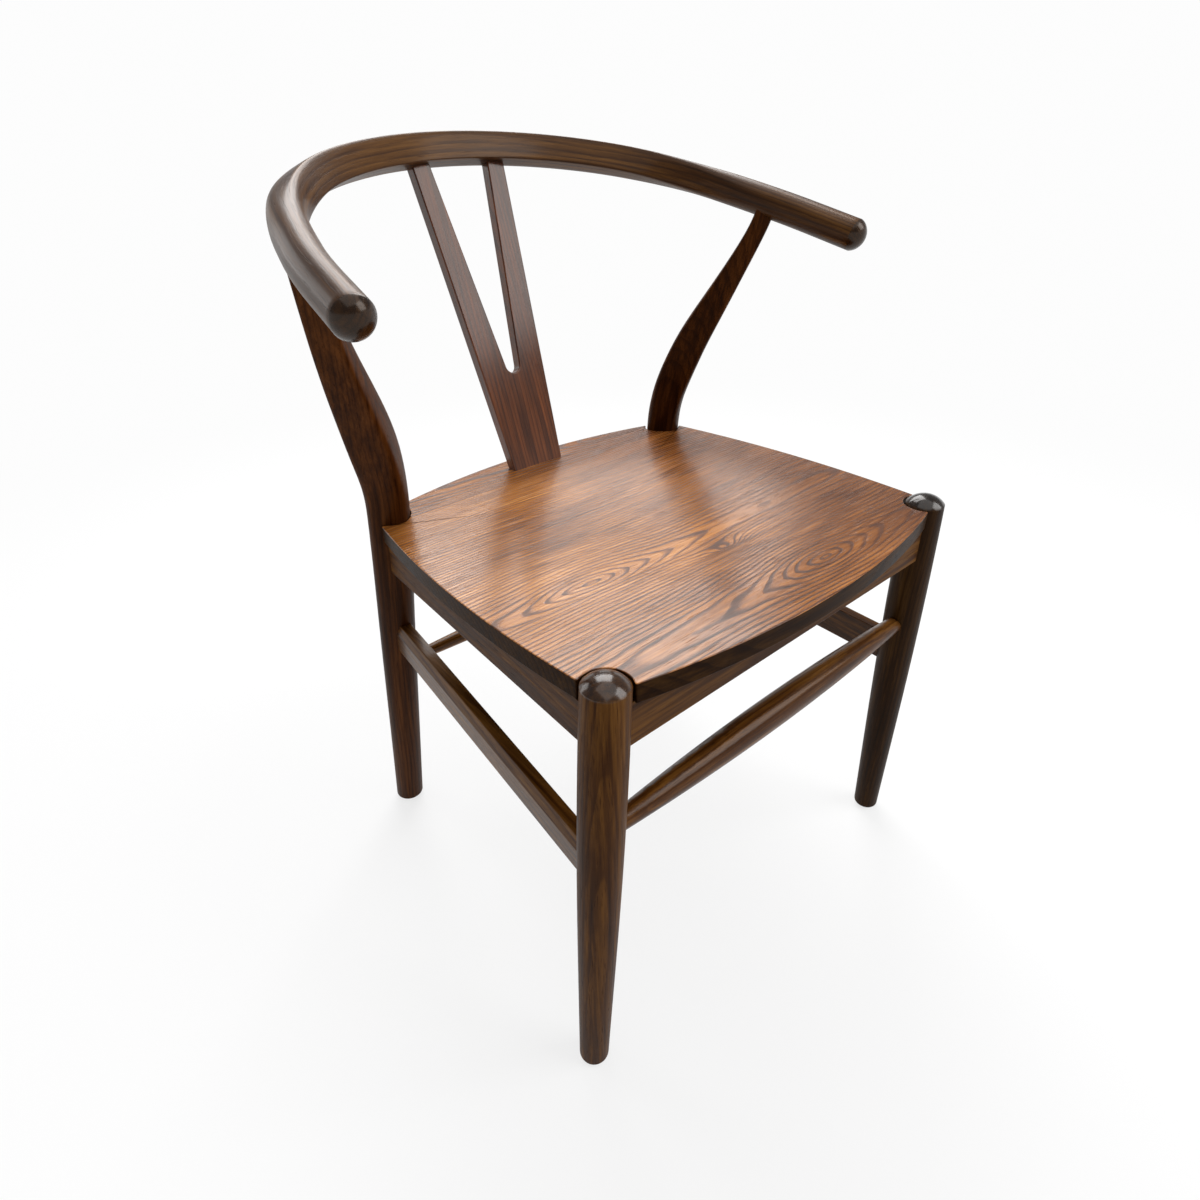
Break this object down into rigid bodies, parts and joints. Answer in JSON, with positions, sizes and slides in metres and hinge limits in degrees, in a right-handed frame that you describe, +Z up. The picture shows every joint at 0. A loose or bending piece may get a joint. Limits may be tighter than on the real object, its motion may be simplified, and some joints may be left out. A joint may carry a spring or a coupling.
{
  "type": "wishbone dining chair",
  "caption": "Wooden dining chair with a bent horseshoe rail that forms back and arms, a forked back board, swept rear legs, round front posts and a dished solid seat.",
  "frame": {"origin": "on the floor, under the middle of the chair's outline seen from above", "axes": "+Z up, +Y towards the back of the chair, +X to the right seen from in front of it"},
  "size_m": [0.5842, 0.5276, 0.78],
  "materials": {
    "frame_wood": "dark walnut stain under satin lacquer",
    "seat_wood": "red-brown stained open grain under satin lacquer",
    "block_wood": "planed, unstained",
    "screw_steel": "zinc plated",
    "glide_nylon": "moulded"
  },
  "bodies": {
    "root": {"top_rail": "frame_wood", "back_splat": "frame_wood", "front_apron": "frame_wood", "rear_apron": "frame_wood", "side_apron_left": "frame_wood", "side_apron_right": "frame_wood", "front_stretcher": "frame_wood", "rear_stretcher": "frame_wood", "side_stretcher_left": "frame_wood", "side_stretcher_right": "frame_wood", "front_leg_left": "frame_wood", "front_leg_right": "frame_wood", "rear_leg_left": "frame_wood", "rear_leg_right": "frame_wood", "seat_board": "seat_wood", "front_corner_block_left": "block_wood", "front_corner_block_right": "block_wood", "rear_corner_block_left": "block_wood", "rear_corner_block_right": "block_wood", "corner_block_screws": "screw_steel", "seat_screws": "screw_steel", "front_glide_left": "glide_nylon", "front_glide_right": "glide_nylon", "rear_glide_left": "glide_nylon", "rear_glide_right": "glide_nylon"}
  },
  "joints": []
}
